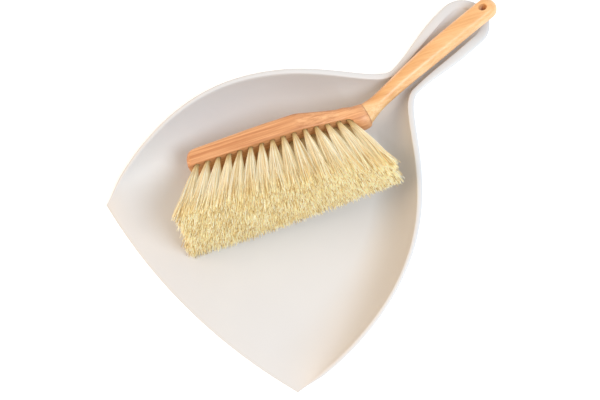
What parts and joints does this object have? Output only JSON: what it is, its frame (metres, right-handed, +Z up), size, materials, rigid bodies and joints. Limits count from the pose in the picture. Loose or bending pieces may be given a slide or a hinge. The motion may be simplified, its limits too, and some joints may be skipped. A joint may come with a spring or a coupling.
{
  "type": "dust pan and brush set",
  "caption": "Leaf-shaped white dust pan with a trough grip, holding a wooden hand brush with flared natural bristle tufts and a hanging hole.",
  "frame": {"origin": "on the floor, in the middle of the pan's flat underside, on the pan's centre line, 130 mm behind the corners of its lip", "axes": "+Y from the lip towards the grip, +Z up, +X to the right seen from above with the grip away from the viewer"},
  "size_m": [0.265, 0.3894, 0.0775],
  "materials": {
    "pan_white": "satin moulded plastic",
    "block_wood": "oiled hardwood, fine straight grain",
    "handle_wood": "smooth lacquered hardwood, straight grain",
    "dowel_wood": "plain turned hardwood",
    "bristle_fibre": "cream natural fibre, trimmed tips",
    "staple_wire": "drawn wire"
  },
  "bodies": {
    "dustpan": {"dustpan_shell": "pan_white"},
    "brush": {"brush_block": "block_wood", "brush_handle": "handle_wood", "handle_dowel": "dowel_wood", "tuft_upper_01": "bristle_fibre", "tuft_upper_02": "bristle_fibre", "tuft_upper_03": "bristle_fibre", "tuft_upper_04": "bristle_fibre", "tuft_upper_05": "bristle_fibre", "tuft_upper_06": "bristle_fibre", "tuft_upper_07": "bristle_fibre", "tuft_upper_08": "bristle_fibre", "tuft_upper_09": "bristle_fibre", "tuft_upper_10": "bristle_fibre", "tuft_upper_11": "bristle_fibre", "tuft_upper_12": "bristle_fibre", "tuft_upper_13": "bristle_fibre", "tuft_upper_14": "bristle_fibre", "tuft_upper_15": "bristle_fibre", "tuft_middle_01": "bristle_fibre", "tuft_middle_02": "bristle_fibre", "tuft_middle_03": "bristle_fibre", "tuft_middle_04": "bristle_fibre", "tuft_middle_05": "bristle_fibre", "tuft_middle_06": "bristle_fibre", "tuft_middle_07": "bristle_fibre", "tuft_middle_08": "bristle_fibre", "tuft_middle_09": "bristle_fibre", "tuft_middle_10": "bristle_fibre", "tuft_middle_11": "bristle_fibre", "tuft_middle_12": "bristle_fibre", "tuft_middle_13": "bristle_fibre", "tuft_middle_14": "bristle_fibre", "tuft_lower_01": "bristle_fibre", "tuft_lower_02": "bristle_fibre", "tuft_lower_03": "bristle_fibre", "tuft_lower_04": "bristle_fibre", "tuft_lower_05": "bristle_fibre", "tuft_lower_06": "bristle_fibre", "tuft_lower_07": "bristle_fibre", "tuft_lower_08": "bristle_fibre", "tuft_lower_09": "bristle_fibre", "tuft_lower_10": "bristle_fibre", "tuft_lower_11": "bristle_fibre", "tuft_lower_12": "bristle_fibre", "tuft_lower_13": "bristle_fibre", "tuft_lower_14": "bristle_fibre", "tuft_lower_15": "bristle_fibre"}
  },
  "joints": [
    {"name": "brush_lift", "type": "slide", "parent": "dustpan", "child": "brush", "axis": [0, 0, 1], "range_m": [0, 0.12]}
  ]
}
